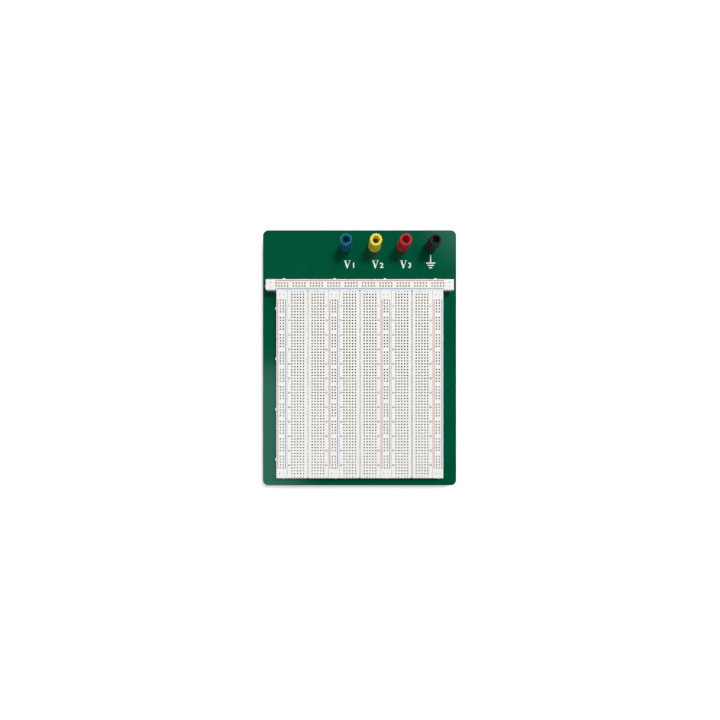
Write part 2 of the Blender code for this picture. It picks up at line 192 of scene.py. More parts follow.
# Marks on the plate: a letter and a digit in front of each live post, the earth sign in front of the last
MARK_BASE = 0.081
MARK_WIDTH = 0.006
MARK_HEIGHT = 0.0071
MARK_OFFSET = 0.0008
THICK_STROKE = 0.0012
THIN_STROKE = 0.0005
SERIF = 0.0004
LEFT_SERIF_WIDTH = 0.00264
RIGHT_SERIF_WIDTH = 0.0018
NOTCH_RISE = 0.00213
DIGIT_SIZE = 0.0066
DIGIT_WEIGHT = 0.00016
DIGIT_STEP = 0.0057
DIGIT_RISE = 0.0024
EARTH_STROKE = 0.001
EARTH_WIDTH = 0.0082
EARTH_BARS = 3
EARTH_STEP = 0.0021
EARTH_RISE = 0.0047
EARTH_STEM = 0.0075

# Camera
CAMERA_PLACE = (-0.0071, 0.0089, 0.352)
CAMERA_LENS = 18.8
CAMERA_SHIFT = (0.0115, -0.0167)

# Lamps: place, the point faced, width, depth, watts and colour. Lamps to light by aren't mirrored, and
# lamps to be mirrored light nothing
LIGHTING_LAMPS = {
    "key": ((0.83, 1.24, 2.37), (0, 0, 0), 0.65, 0.65, 51.0, "fffefb"),
    "overhead": ((-0.007, 0.009, 0.9), (-0.007, 0.009, 0), 0.25, 0.25, 0.8, "ffffff"),
}
MIRRORED_LAMPS = {
    "glint": ((-0.007, 0.02, 0.9), (-0.007, 0.02, 0), 0.06, 0.06, 0.12, "ffffff"),
    "sheen_left": ((-0.3, -0.2575, 0.6), (-0.3, -0.2575, 0), 0.33, 0.451, 1.071576, "b5fbff"),
    "sheen_rear": ((0.336, 0.336, 0.6), (0, 0, 0), 0.25, 0.25, 0.45, "b5fbff"),
}

# Floor and world. A step of the world's light has the axis along which it eases, where it starts and ends,
# and its strength before and after: dim below, dark overhead, brighter at the back
FLOOR_SIDE = 8.0
FLOOR_GLOW = 0.35
LIGHT_STEPS = (
    ("Z", 0.15, 0.5, 0.12, 0.8),
    ("Z", 0.63, 0.8, 1.0, 0.012),
    ("Y", -0.8, 0.8, 0.65, 1.5),
)
BACKDROP_STEP = ("Z", 0.25, 0.5, 0.85, 0.0)

# A noise keeps mostly between these values, over which a finish runs from smooth to rough
DRIFT_LOW = 0.3
DRIFT_HIGH = 0.7


def linear(hex_colour):
    """Six sRGB hex digits as a linear colour."""
    channels = [int(hex_colour[i : i + 2], 16) / 255 for i in (0, 2, 4)]
    return (*(c / 12.92 if c <= 0.04045 else ((c + 0.055) / 1.055) ** 2.4 for c in channels), 1.0)


def add(tree, kind, sockets=None, **settings):
    """One node with its settings; an input gets a value, or links from one output or a list of them."""
    node = tree.nodes.new(kind)
    for name, value in settings.items():
        setattr(node, name, value)
    for name, value in (sockets or {}).items():
        sources = value if isinstance(value, list) else [value]
        if isinstance(sources[0], bpy.types.NodeSocket):
            for source in sources:
                tree.links.new(source, node.inputs[name])
        else:
            node.inputs[name].default_value = value
    return node


# Finishes


def emptied(made):
    """The node tree of a material or a world, with no node left in it."""
    made.use_nodes = True
    made.node_tree.nodes.clear()
    return made.node_tree


def started(name):
    """A new material, its tree and Object coordinates."""
    made = bpy.data.materials.new(name)
    tree = emptied(made)
    return made, tree, add(tree, "ShaderNodeTexCoord").outputs["Object"]


def finished(made, values, drift, colours, roughness, relief=None):
    """Ends a finish with a Principled shader that has the given values.

    Colour and roughness follow a drift between two values each. Relief is a height, its depth in
    millimetres and its strength.
    """
    tree = made.node_tree
    dark, light = (linear(colour) for colour in colours)
    tint = add(tree, "ShaderNodeMix", {0: drift, 6: dark, 7: light}, data_type="RGBA")
    smooth, rough = roughness
    spread = {"From Min": DRIFT_LOW, "From Max": DRIFT_HIGH, "To Min": smooth, "To Max": rough}
    skin = add(tree, "ShaderNodeMapRange", spread | {"Value": drift})
    sockets = values | {"Base Color": tint.outputs[2], "Roughness": skin.outputs["Result"]}
    if relief:
        height, depth, strength = relief
        folds = {"Height": height, "Distance": depth * MM, "Strength": strength}
        sockets["Normal"] = add(tree, "ShaderNodeBump", folds).outputs["Normal"]
    shader = add(tree, "ShaderNodeBsdfPrincipled", sockets)
    add(tree, "ShaderNodeOutputMaterial", {"Surface": shader.outputs[0]})
    return made


def baked_enamel():
    """Enamel baked on steel sheet: a deep even green under a smooth skin with a faint orange peel."""
    made, tree, place = started("baked_enamel")
    cloud = add(tree, "ShaderNodeTexNoise", {"Vector": place, "Scale": 1 / (18 * MM)}).outputs["Fac"]
    peel = add(tree, "ShaderNodeTexNoise", {"Vector": place, "Scale": 1 / (1.6 * MM), "Detail": 1.0})
    relief = (peel.outputs["Fac"], 0.02, 0.5)
    return finished(made, {"IOR": 1.4}, cloud, ("004c34", "00583d"), (0.13, 0.17), relief)


def moulded_abs():
    """ABS from a spark-eroded mould: warm white, a fine even grain and a soft sheen."""
    made, tree, place = started("moulded_abs")
    cloud = add(tree, "ShaderNodeTexNoise", {"Vector": place, "Scale": 1 / (9 * MM)}).outputs["Fac"]
    # The real grain is near 0.05 mm; it is drawn at 0.2 mm so that it shows
    grain = add(tree, "ShaderNodeTexNoise", {"Vector": place, "Scale": 1 / (0.2 * MM)}).outputs["Fac"]
    return finished(made, {"IOR": 1.53}, cloud, ("f0efec", "f5f4f1"), (0.42, 0.52), (grain, 0.01, 0.4))


def printing_ink(name, thin, full):
    """Pad-printed ink: a matt film that lies thinner in small patches."""
    made, tree, place = started(name)
    patches = add(tree, "ShaderNodeTexNoise", {"Vector": place, "Scale": 1 / (0.5 * MM), "Detail": 3.0})
    return finished(made, {"IOR": 1.48}, patches.outputs["Fac"], (thin, full), (0.5, 0.62))


def moulded_nylon(name, dark, light):
    """Coloured nylon of the posts: a glossy moulded skin with slight flow marks along the mould's pull."""
    made, tree, place = started(name)
    pull = add(tree, "ShaderNodeMapping", {"Vector": place, "Scale": (1.0, 1.0, 0.25)}).outputs["Vector"]
    flow = add(tree, "ShaderNodeTexNoise", {"Vector": pull, "Scale": 1 / (2 * MM)}).outputs["Fac"]
    skin = add(tree, "ShaderNodeTexNoise", {"Vector": place, "Scale": 1 / (0.4 * MM)}).outputs["Fac"]
    values = {"IOR": 1.53, "Specular IOR Level": 0.3}
    return finished(made, values, flow, (dark, light), (0.28, 0.4), (skin, 0.01, 0.35))


def turned_metal(name, dark, light, smooth, rough):
    """Metal from a lathe: fine rings round the axis that catch the light, and a slight cloud of wear."""
    made, tree, place = started(name)
    cloud = add(tree, "ShaderNodeTexNoise", {"Vector": place, "Scale": 1 / (1.2 * MM)}).outputs["Fac"]
    # Tool marks are near 0.05 mm apart; they are drawn 0.15 mm apart so that they show. At a scale of 1
    # the texture's bands are tau / 20 apart
    bands = {"Vector": place, "Scale": math.tau / 20 / (0.15 * MM), "Distortion": 0.6, "Detail": 1.0}
    rings = add(tree, "ShaderNodeTexWave", bands, bands_direction="Z").outputs["Fac"]
    return finished(made, {"Metallic": 1.0}, cloud, (dark, light), (smooth, rough), (rings, 0.006, 0.5))


def rolled_sheet(name, dark, light, smooth, rough):
    """Rolled and plated sheet: streaks along the roll and patches where the plating lies brighter."""
    made, tree, place = started(name)
    roll = add(tree, "ShaderNodeMapping", {"Vector": place, "Scale": (0.15, 1.0, 1.0)}).outputs["Vector"]
    streaks = add(tree, "ShaderNodeTexNoise", {"Vector": roll, "Scale": 1 / (0.6 * MM), "Detail": 4.0})
    drift = streaks.outputs["Fac"]
    return finished(made, {"Metallic": 1.0}, drift, (dark, light), (smooth, rough), (drift, 0.008, 0.4))


def moulded_rubber():
    """Moulded rubber: near black, dull, with a fine skin and a breath of dust."""
    made, tree, place = started("moulded_rubber")
    dust = add(tree, "ShaderNodeTexNoise", {"Vector": place, "Scale": 1 / (3 * MM), "Detail": 4.0})
    skin = add(tree, "ShaderNodeTexNoise", {"Vector": place, "Scale": 1 / (0.4 * MM), "Detail": 3.0})
    relief = (skin.outputs["Fac"], 0.03, 0.6)
    return finished(made, {"IOR": 1.52}, dust.outputs["Fac"], ("151517", "222224"), (0.7, 0.85), relief)


def foam_tape():
    """Closed-cell foam tape, cut with a knife: open cells on its edge."""
    made, tree, place = started("foam_tape")
    cells = add(tree, "ShaderNodeTexVoronoi", {"Vector": place, "Scale": 1 / (0.4 * MM)})
    drift = cells.outputs["Distance"]
    return finished(made, {"IOR": 1.45}, drift, ("c9c3b2", "e2dccd"), (0.85, 0.95), (drift, 0.1, 0.6))


def moulded_phenolic():
    """Black insulating resin with its filler just showing."""
    made, tree, place = started("moulded_phenolic")
    filler = add(tree, "ShaderNodeTexNoise", {"Vector": place, "Scale": 1 / (0.5 * MM), "Detail": 4.0})
    drift = filler.outputs["Fac"]
    return finished(made, {"IOR": 1.6}, drift, ("1b1b1d", "303033"), (0.45, 0.6), (drift, 0.01, 0.4))


FINISHES = {
    "green_enamel": baked_enamel(),
    "white_plastic": moulded_abs(),
    "foam_tape": foam_tape(),
    "spring_alloy": rolled_sheet("nickel_silver_sheet", "7d7870", "a39d92", 0.35, 0.5),
    "black_rubber": moulded_rubber(),
    "blue_plastic": moulded_nylon("blue_nylon", "005f80", "007090"),
    "yellow_plastic": moulded_nylon("yellow_nylon", "f6da34", "fde652"),
    "red_plastic": moulded_nylon("red_nylon", "bb1c2c", "cc2636"),
    "black_plastic": moulded_nylon("black_nylon", "1e1e20", "2a2a2c"),
    "black_insulator": moulded_phenolic(),
    "turned_brass": turned_metal("turned_brass", "b08a3c", "cfab58", 0.22, 0.34),
    "nickel_plate": turned_metal("nickel_plated_brass", "a9a9a4", "c6c5bf", 0.26, 0.36),
    "tinned_brass": rolled_sheet("tinned_brass", "b4b2aa", "d2d0c8", 0.28, 0.42),
}
RED_INK = printing_ink("red_ink", "d88486", "c8646a")
BLUE_INK = printing_ink("blue_ink", "8fa3c4", "6f8ab4")
GREY_INK = printing_ink("grey_ink", "77726f", "5b5754")
WHITE_INK = printing_ink("white_ink", "e2f2ec", "eefaf5")


# Meshes


def mesh_of(shape, smooth_angle=None):
    """A mesh from a bmesh, faces outwards, smooth across edges flatter than the angle."""
    bmesh.ops.remove_doubles(shape, verts=shape.verts, dist=MERGE_DISTANCE)
    bmesh.ops.recalc_face_normals(shape, faces=shape.faces)
    mesh = bpy.data.meshes.new("shape")
    shape.to_mesh(mesh)
    shape.free()
    if smooth_angle:
        mesh.shade_smooth()
        mesh.set_sharp_from_angle(angle=smooth_angle)
    return mesh


def add_prism(shape, outline, bottom, top):
    """Adds a plan outline, extruded from one height to another."""
    face = shape.faces.new([shape.verts.new((x, y, bottom)) for x, y in outline])
    grown = bmesh.ops.extrude_face_region(shape, geom=[face])["geom"]
    risen = [part for part in grown if isinstance(part, bmesh.types.BMVert)]
    bmesh.ops.translate(shape, verts=risen, vec=(0, 0, top - bottom))


def prisms(outlines, bottom, top):
    """Plan outlines, each extruded from one height to another, as one mesh."""
    shape = bmesh.new()
    for outline in outlines:
        add_prism(shape, outline, bottom, top)
    return mesh_of(shape)


def rectangle(width, length, x=0.0, y=0.0):
    """The corners of a rectangle about its middle."""
    return [(x + i * width / 2, y + j * length / 2) for i, j in ((-1, -1), (1, -1), (1, 1), (-1, 1))]


def arc(radius, start, end, steps, x=0.0, y=0.0):
    """Points of an arc from one angle to another, in degrees."""
    angles = [math.radians(start + (end - start) * i / steps) for i in range(steps + 1)]
    return [(x + radius * math.cos(a), y + radius * math.sin(a)) for a in angles]


def turned(profile, steps=ROUND_STEPS):
    """A solid of revolution about Z through (radius, height) points, outer side first.

    A radius may be a function of the angle and the height. A point on the axis closes that end, and a
    profile with no point there is a ring.
    """
    shape = bmesh.new()
    rings = []
    for radius, height in profile:
        if radius == 0:
            rings.append([shape.verts.new((0, 0, height))] * steps)
            continue
        ring = []
        for i in range(steps):
            angle = math.tau * i / steps
            reach = radius(angle, height) if callable(radius) else radius
            ring.append(shape.verts.new((reach * math.cos(angle), reach * math.sin(angle), height)))
        rings.append(ring)
    pairs = list(zip(rings, rings[1:]))
    if profile[0][0] != 0:
        pairs.append((rings[-1], rings[0]))
    for upper, lower in pairs:
        for i in range(steps):
            j = (i + 1) % steps
            corners = dict.fromkeys((upper[i], lower[i], lower[j], upper[j]))
            shape.faces.new(list(corners))
    return mesh_of(shape, SMOOTH_ANGLE)


def held(mesh):
    """An object that holds a mesh while modifiers work on it."""
    holder = bpy.data.objects.new("holder", mesh)
    bpy.context.scene.collection.objects.link(holder)
    return holder


def settled(holder):
    """The plain mesh that a holder's modifiers give; the holder goes."""
    graph = bpy.context.evaluated_depsgraph_get()
    mesh = bpy.data.meshes.new_from_object(holder.evaluated_get(graph))
    bpy.data.objects.remove(holder)
    return mesh


def rounded(mesh, width, steps=2, angle=40):
    """A mesh with its edges rounded where they turn by more than the angle, in degrees."""
    holder = held(mesh)
    bevel = holder.modifiers.new("rounded edges", "BEVEL")
    bevel.width = width
    bevel.segments = steps
    bevel.limit_method = "ANGLE"
    bevel.angle_limit = math.radians(angle)
    return settled(holder)


def combined(mesh, tool, operation):
    """A mesh with a tool's volume added to it or taken out of it."""
    holder = held(mesh)
    other = held(tool)
    boolean = holder.modifiers.new("combined", "BOOLEAN")
    boolean.operation = operation
    boolean.solver = "EXACT"
    boolean.object = other
    made = settled(holder)
    bpy.data.objects.remove(other)
    return made


def placed(mesh, x=0.0, y=0.0, z=0.0, turn=0.0):
    """A copy of a mesh, turned about Z and moved to its place."""
    copy = mesh.copy()
    copy.transform(Matrix.Translation((x, y, z)) @ Matrix.Rotation(turn, 4, "Z"))
    return copy


def joined(meshes):
    """Several meshes as one."""
    shape = bmesh.new()
    for mesh in meshes:
        shape.from_mesh(mesh)
    return mesh_of(shape)


def show(name, mesh, material, body):
    """A finished piece that moves with a body."""
    piece = bpy.data.objects.new(name, mesh)
    mesh.materials.clear()
    mesh.materials.append(material)
    bpy.context.scene.collection.objects.link(piece)
    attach(piece, body)
    return piece


def stand_for(node, mesh):
    """A finished piece in the place of a CAD node, with the node's body and finish."""
    piece = show("finished_" + node, mesh, FINISHES[SLOT_OF[node]], BODY_OF[node])
    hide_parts(node)
    return piece


def middle(node):
    """Where a node's middle is in plan."""
    low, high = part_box(node)
    return (low.x + high.x) / 2, (low.y + high.y) / 2


# Geometry node trees


def new_tree(name, inputs):
    """A geometry tree with named inputs after its geometry: the tree and the sockets of its inputs."""
    tree = bpy.data.node_groups.new(name, "GeometryNodeTree")
    tree.interface.new_socket("Geometry", in_out="OUTPUT", socket_type="NodeSocketGeometry")
    tree.interface.new_socket("Geometry", in_out="INPUT", socket_type="NodeSocketGeometry")
    for label, kind in inputs.items():
        tree.interface.new_socket(label, in_out="INPUT", socket_type="NodeSocket" + kind)
    given = add(tree, "NodeGroupInput").outputs
    return tree, given


def grown(mesh, tree, sizes):
    """The plain mesh that a tree makes of a mesh with the given sizes."""
    holder = held(mesh)
    modifier = holder.modifiers.new(tree.name, "NODES")
    modifier.node_group = tree
    for item in tree.interface.items_tree:
        if item.in_out == "INPUT" and item.name in sizes:
            modifier[item.identifier] = sizes[item.name]
    return settled(holder)


FIELD_INPUTS = {
    "Columns": "Int",
    "Rows": "Int",
    "Pitch": "Float",
    "Blocks Across": "Int",
    "Blocks Along": "Int",
    "Step Across": "Float",
    "Step Along": "Float",
}


def tie_points(tree, given):
    """Adds the points of a field of tie points: a block of columns and rows, set out in turn in blocks."""
    grids = []
    for across, along, step_across, step_along in (
        ("Columns", "Rows", "Pitch", "Pitch"),
        ("Blocks Across", "Blocks Along", "Step Across", "Step Along"),
    ):
        spans = []
        for count, step in ((across, step_across), (along, step_along)):
            gaps = add(tree, "ShaderNodeMath", {0: given[count], 1: 1.0}, operation="SUBTRACT").outputs[0]
            span = add(tree, "ShaderNodeMath", {0: gaps, 1: given[step]}, operation="MULTIPLY")
            spans.append(span.outputs[0])
        counts = {"Vertices X": given[across], "Vertices Y": given[along]}
        grid = add(tree, "GeometryNodeMeshGrid", counts | {"Size X": spans[0], "Size Y": spans[1]})
        grids.append(grid.outputs["Mesh"])
    blocks = add(tree, "GeometryNodeInstanceOnPoints", {"Points": grids[1], "Instance": grids[0]})
    return add(tree, "GeometryNodeRealizeInstances", {"Geometry": blocks.outputs[0]}).outputs[0]


def ended(tree, geometry, material):
    """Ends a tree: real geometry in one finish."""
    real = add(tree, "GeometryNodeRealizeInstances", {"Geometry": geometry})
    finish = add(tree, "GeometryNodeSetMaterial", {"Geometry": real.outputs[0], "Material": material})
    add(tree, "NodeGroupOutput", {"Geometry": finish.outputs[0]})


def perforation_tree():
    """Cuts a field of tie points into a strip's face: at each, a square funnel over a square shaft."""
    inputs = FIELD_INPUTS | {
        "Mouth": "Float",
        "Throat": "Float",
        "Funnel Depth": "Float",
        "Face Thickness": "Float",
        "Face Height": "Float",
        "Material": "Material",
    }
    tree, given = new_tree("perforated face", inputs)

    # Sizes of the tools, worked out in turn; a funnel's tool goes on above the face so that it cuts clean
    to_corner = math.sqrt(0.5)
    sizes = dict(given.items())
    for name, operation, first, second in (
        ("Twice Mouth", "MULTIPLY", "Mouth", 2.0),
        ("Tool Mouth", "SUBTRACT", "Twice Mouth", "Throat"),
        ("Radius Top", "MULTIPLY", "Tool Mouth", to_corner),
        ("Radius Bottom", "MULTIPLY", "Throat", to_corner),
        ("Depth", "MULTIPLY", "Funnel Depth", 2.0),
        ("Funnel Foot", "SUBTRACT", "Face Height", "Funnel Depth"),
        ("Both Depths", "ADD", "Funnel Depth", "Face Thickness"),
        ("Half Depths", "MULTIPLY", "Both Depths", 0.5),
        ("Shaft Middle", "SUBTRACT", "Face Height", "Half Depths"),
    ):
        pair = {0: sizes[first], 1: sizes.get(second, second)}
        sizes[name] = add(tree, "ShaderNodeMath", pair, operation=operation).outputs[0]
    cone = {label: sizes[label] for label in ("Radius Top", "Radius Bottom", "Depth")}
    funnel = add(tree, "GeometryNodeMeshCone", cone | {"Vertices": 4})
    sides = {"X": given["Throat"], "Y": given["Throat"], "Z": given["Face Thickness"]}
    shaft_size = add(tree, "ShaderNodeCombineXYZ", sides).outputs[0]
    shaft = add(tree, "GeometryNodeMeshCube", {"Size": shaft_size})
    points = tie_points(tree, given)
    tools = []
    for tool, height, turn in ((funnel, "Funnel Foot", math.pi / 4), (shaft, "Shaft Middle", 0.0)):
        lift = add(tree, "ShaderNodeCombineXYZ", {"Z": sizes[height]}).outputs[0]
        moved = {"Geometry": tool.outputs["Mesh"], "Translation": lift, "Rotation": (0, 0, turn)}
        upright = add(tree, "GeometryNodeTransform", moved).outputs[0]
        copies = add(tree, "GeometryNodeInstanceOnPoints", {"Points": points, "Instance": upright})
        tools.append(add(tree, "GeometryNodeRealizeInstances", {"Geometry": copies.outputs[0]}).outputs[0])
    bodies = {"Mesh 1": given["Geometry"], "Mesh 2": tools}
    cut = add(tree, "GeometryNodeMeshBoolean", bodies, operation="DIFFERENCE", solver="MANIFOLD")
    ended(tree, cut.outputs["Mesh"], given["Material"])
    return tree


def contact_tree():
    """Repeats a pair of spring leaves under every tie point of a field."""
    tree, given = new_tree("contact leaves", FIELD_INPUTS | {"Material": "Material"})
    points = tie_points(tree, given)
    leaves = add(tree, "GeometryNodeInstanceOnPoints", {"Points": points, "Instance": given["Geometry"]})
    ended(tree, leaves.outputs[0], given["Material"])
    return tree


TERMINAL_FIELD = {
    "Columns": BANK_COLUMNS,
    "Rows": TERMINAL_ROWS,
    "Pitch": PITCH,
    "Blocks Across": BANK_COUNT,
    "Blocks Along": 1,
    "Step Across": BANK_STEP,
    "Step Along": 0.0,
}
BUS_FIELD = {
    "Columns": BUS_COLUMNS,
    "Rows": GROUP_ROWS,
    "Pitch": PITCH,
    "Blocks Across": 1,
    "Blocks Along": GROUP_COUNT,
    "Step Across": 0.0,
    "Step Along": GROUP_STEP,
}
RAIL_FIELD = BUS_FIELD | {"Columns": 1}
SPRING = {"Material": FINISHES["spring_alloy"]}
BUS_ROW_LENGTH = (GROUP_COUNT - 1) * GROUP_STEP + (GROUP_ROWS - 1) * PITCH


# Plate and feet


def make_plate():
    """The plate with its post holes; its flat faces shade flat, so that they mirror straight."""
    low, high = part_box("base_plate")
    across = high.x - PLATE_CORNER
    along = high.y - PLATE_CORNER
    outline = []
    for start, i, j in ((0, 1, 1), (90, -1, 1), (180, -1, -1), (270, 1, -1)):
        outline += arc(PLATE_CORNER, start, start + 90, PLATE_CORNER_STEPS, i * across, j * along)
    holes = []
    for colour in POST_COLOURS:
        x, y = middle(colour + "_post_cap")
        holes.append(arc(SPIGOT_RADIUS + HAIRLINE, 0, 360, POST_HOLE_STEPS, x, y)[:-1])
    drill = prisms(holes, low.z - PLATE_EDGE, high.z + PLATE_EDGE)
    drilled = combined(prisms([outline], low.z, high.z), drill, "DIFFERENCE")
    plate = rounded(drilled, PLATE_EDGE, PLATE_EDGE_STEPS)
    for face in plate.polygons:
        face.use_smooth = abs(face.normal.z) < FLAT_NORMAL
    stand_for("base_plate", plate)


def make_feet():
    """Stick-on feet: a drafted plug with round edges and a dimple in the tread."""
    low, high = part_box("foot_rear_left")
    radius = (high.x - low.x) / 2
    top = PLATE_BOTTOM - HAIRLINE
    tread = arc(FOOT_EDGE, 0, -90, RIM_STEPS, FOOT_TIP_RADIUS - FOOT_EDGE, FOOT_EDGE)
    profile = [(0, top), (radius - FOOT_EDGE / 2, top), (radius, PLATE_BOTTOM - FOOT_EDGE / 2)]
    profile += [(radius, high.z - 2 * FOOT_EDGE), *tread, (FOOT_DIMPLE, 0)]
    profile += [(FOOT_DIMPLE_FLOOR, FOOT_DIMPLE_DEPTH), (0, FOOT_DIMPLE_DEPTH)]
    foot = turned(profile)
    for corner in ("rear_left", "rear_right", "front_left", "front_right"):
        node = "foot_" + corner
        stand_for(node, placed(foot, *middle(node)))


# Strips


def add_keys(shape, wall, end, reach, bottom, top, gap, end_keyed):
    """Adds the dovetail keys of a strip's left side, or the room for them in its right side.

    Each points left from the wall. A strip keyed at its ends has one more that points down from the end.
    """
    root = KEY_ROOT / 2 + gap
    tip = KEY_TIP / 2 + gap
    plan = [(reach, -root), (0, -root), (-reach, -tip), (-reach, tip), (0, root), (reach, root)]
    for i in range(KEY_COUNT):
        along = (i - (KEY_COUNT - 1) / 2) * KEY_SPACING
        add_prism(shape, [(wall + x, along + y) for x, y in plan], bottom, top)
    if end_keyed:
        end_top = top + KEY_DROP - END_KEY_DROP
        add_prism(shape, [(END_KEY_OFFSET - y, end + x) for x, y in plan], bottom, end_top)


def strip_body(width, end_keyed):
    """A strip's block, standing on zero: round upper edges, keys on the left, blind slots on the right."""
    wall = width / 2 + STRIP_SPREAD
    end = STRIP_LENGTH / 2 + STRIP_SPREAD
    shape = bmesh.new()
    add_prism(shape, rectangle(2 * wall, 2 * end), 0, STRIP_HEIGHT)
    rim = [e for e in shape.edges if all(v.co.z > STRIP_HEIGHT / 2 for v in e.verts)]
    bmesh.ops.bevel(shape, geom=rim, offset=STRIP_EDGE, segments=2, profile=0.5, affect="EDGES")
    keys = bmesh.new()
    key_top = STRIP_HEIGHT - KEY_DROP
    add_keys(keys, -wall, -end, KEY_REACH - STRIP_SPREAD, KEY_LIFT, key_top, 0, end_keyed)
    slots = bmesh.new()
    slot_reach = KEY_REACH + STRIP_SPREAD
    slot_top = key_top + KEY_GAP
    add_keys(slots, wall, end, slot_reach, -STRIP_HEIGHT, slot_top, KEY_GAP, end_keyed)
    keyed = combined(mesh_of(shape), mesh_of(keys), "UNION")
    return combined(keyed, mesh_of(slots), "DIFFERENCE")


def perforated(body, tree, field, face_thickness):
    """A strip's body with a field of tie points cut through its face."""
    sizes = {
        "Mouth": MOUTH,
        "Throat": THROAT,
        "Funnel Depth": FUNNEL_DEPTH,
        "Face Thickness": face_thickness,
        "Face Height": STRIP_HEIGHT,
        "Material": FINISHES["white_plastic"],
    }
    return grown(body, tree, field | sizes)


def row_bars(length, width):
    """A bar in plan under each row of five holes of a terminal strip."""
    bars = []
    for bank in (-1, 1):
        for row in range(TERMINAL_ROWS):
            y = (row - (TERMINAL_ROWS - 1) / 2) * PITCH
            bars.append(rectangle(length, width, bank * BANK_STEP / 2, y))
    return bars


def terminal_body(tree):
    """A terminal strip: a ravine down its middle, and a pocket for a contact under each row of holes."""
    pockets = row_bars(POCKET_LENGTH, POCKET_WIDTH)
    hollows = prisms(pockets, -FACE_THICKNESS, STRIP_HEIGHT - FACE_THICKNESS)
    half = RAVINE_WIDTH / 2
    lift = RAVINE_CHAMFER
    section = [(-half, -RAVINE_DEPTH), (half, -RAVINE_DEPTH), (half, -RAVINE_CHAMFER)]
    section += [(half + RAVINE_CHAMFER + lift, lift), (-half - RAVINE_CHAMFER - lift, lift)]
    section += [(-half, -RAVINE_CHAMFER)]
    past_end = STRIP_LENGTH / 2 + RAVINE_WIDTH
    ravine = prisms([section], -past_end, past_end)
    ravine.transform(Matrix.Translation((0, 0, STRIP_HEIGHT)) @ Matrix.Rotation(math.pi / 2, 4, "X"))
    body = combined(strip_body(TERMINAL_WIDTH, False), ravine, "DIFFERENCE")
    body = combined(body, hollows, "DIFFERENCE")
    return perforated(body, tree, TERMINAL_FIELD, FACE_THICKNESS)


def bus_body(tree):
    """A bus strip: a pocket for a contact rail under each of its two rows of holes."""
    low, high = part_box("bus_1_rail_red")
    length = high.y - low.y + 2 * POCKET_ROOM
    rail_top = high.z - STRIP_BOTTOM
    pockets = [rectangle(RAIL_POCKET, length, side * PITCH / 2) for side in (-1, 1)]
    hollows = prisms(pockets, -FACE_THICKNESS, rail_top + POCKET_ROOM / 2)
    body = combined(strip_body(BUS_WIDTH, True), hollows, "DIFFERENCE")
    return perforated(body, tree, BUS_FIELD, STRIP_HEIGHT - rail_top)


def leaf_pair(height, turn):
    """One pair of spring leaves: a folded strip whose arms lean together and flare apart at the top."""
    arm = [(y * POCKET_WIDTH, z * height) for y, z in LEAF_ARM]
    line = [(-y, z) for y, z in arm] + list(reversed(arm))
    outer = []
    for i, (y, z) in enumerate(line):
        before = Vector(line[max(i - 1, 0)])
        after = Vector(line[min(i + 1, len(line) - 1)])
        along = (after - before).normalized()
        outer.append((y - along.y * LEAF_SHEET, z + along.x * LEAF_SHEET))
    pair = prisms([line + list(reversed(outer))], -LEAF_WIDTH / 2, LEAF_WIDTH / 2)
    stand_up = Matrix(((0, 0, 1, 0), (1, 0, 0, 0), (0, 1, 0, 0), (0, 0, 0, 1)))
    pair.transform(Matrix.Rotation(turn, 4, "Z") @ stand_up)
    return pair


def terminal_contacts(tree):
    """The clips of one terminal strip: five pairs of leaves on a spine under each row of five holes."""
    height = STRIP_HEIGHT - FACE_THICKNESS - 2 * CONTACT_LIFT
    leaves = grown(leaf_pair(height, 0.0), tree, TERMINAL_FIELD | SPRING)
    return joined([leaves, prisms(row_bars(SPINE_LENGTH, SPINE_WIDTH), -LEAF_SHEET, 0)])


def bus_rail(tree):
    """One contact rail: pairs of leaves along a spine, under a row of holes."""
    low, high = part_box("bus_1_rail_red")
    pair = leaf_pair(high.z - low.z - 2 * CONTACT_LIFT, math.pi / 2)
    leaves = grown(pair, tree, RAIL_FIELD | SPRING)
    return joined([leaves, prisms([rectangle(SPINE_WIDTH, high.y - low.y)], -LEAF_SHEET, 0)])


def foam_pad(node):
    """Foam under a strip: it fills the room from plate to strip, its cut edge drawn in between them."""
    low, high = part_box(node)
    x, y = middle(node)
    width = high.x - low.x
    length = high.y - low.y
    shape = bmesh.new()
    rings = []
    bottom = PLATE_TOP + HAIRLINE
    top = STRIP_BOTTOM - HAIRLINE
    for i in range(PAD_STEPS + 1):
        share = i / PAD_STEPS
        inset = PAD_DRAWN_IN * math.sin(math.pi * share)
        height = bottom + (top - bottom) * share
        corners = rectangle(width - 2 * inset, length - 2 * inset, x, y)
        rings.append([shape.verts.new((*corner, height)) for corner in corners])
    for lower, upper in zip(rings, rings[1:]):
        for i in range(4):
            j = (i + 1) % 4
            shape.faces.new((lower[i], lower[j], upper[j], upper[i]))
    shape.faces.new(rings[0])
    shape.faces.new(rings[-1])
    return mesh_of(shape, SMOOTH_ANGLE)


# Prints


def film(outlines, height):
    """Closed outlines printed on a face at the given height, as one thin film that keys into it."""
    return prisms(outlines, height - INK_FILM, height + INK_FILM)


def plus_sign(x, y):
    """A plus sign as one outline: four arms round its middle."""
    arm = SIGN_SIZE / 2
    half = SIGN_STROKE / 2
    quarter = [(half, half), (half, arm), (-half, arm)]
    outline = []
    for turn in range(4):
        spin = Matrix.Rotation(turn * math.pi / 2, 2)
        outline += [spin @ Vector(point) for point in quarter]
    return [(x + point[0], y + point[1]) for point in outline]


def lettering(text, size, weight):
    """A word as a thin flat mesh about its middle, its strokes made bolder by a weight."""
    curve = bpy.data.curves.new("lettering", "FONT")
    curve.body = text
    curve.size = size
    curve.offset = weight
    curve.align_x = "CENTER"
    curve.align_y = "CENTER"
    curve.extrude = INK_FILM
    curve.resolution_u = 2
    mesh = settled(held(curve))
    bpy.data.curves.remove(curve)
    return mesh


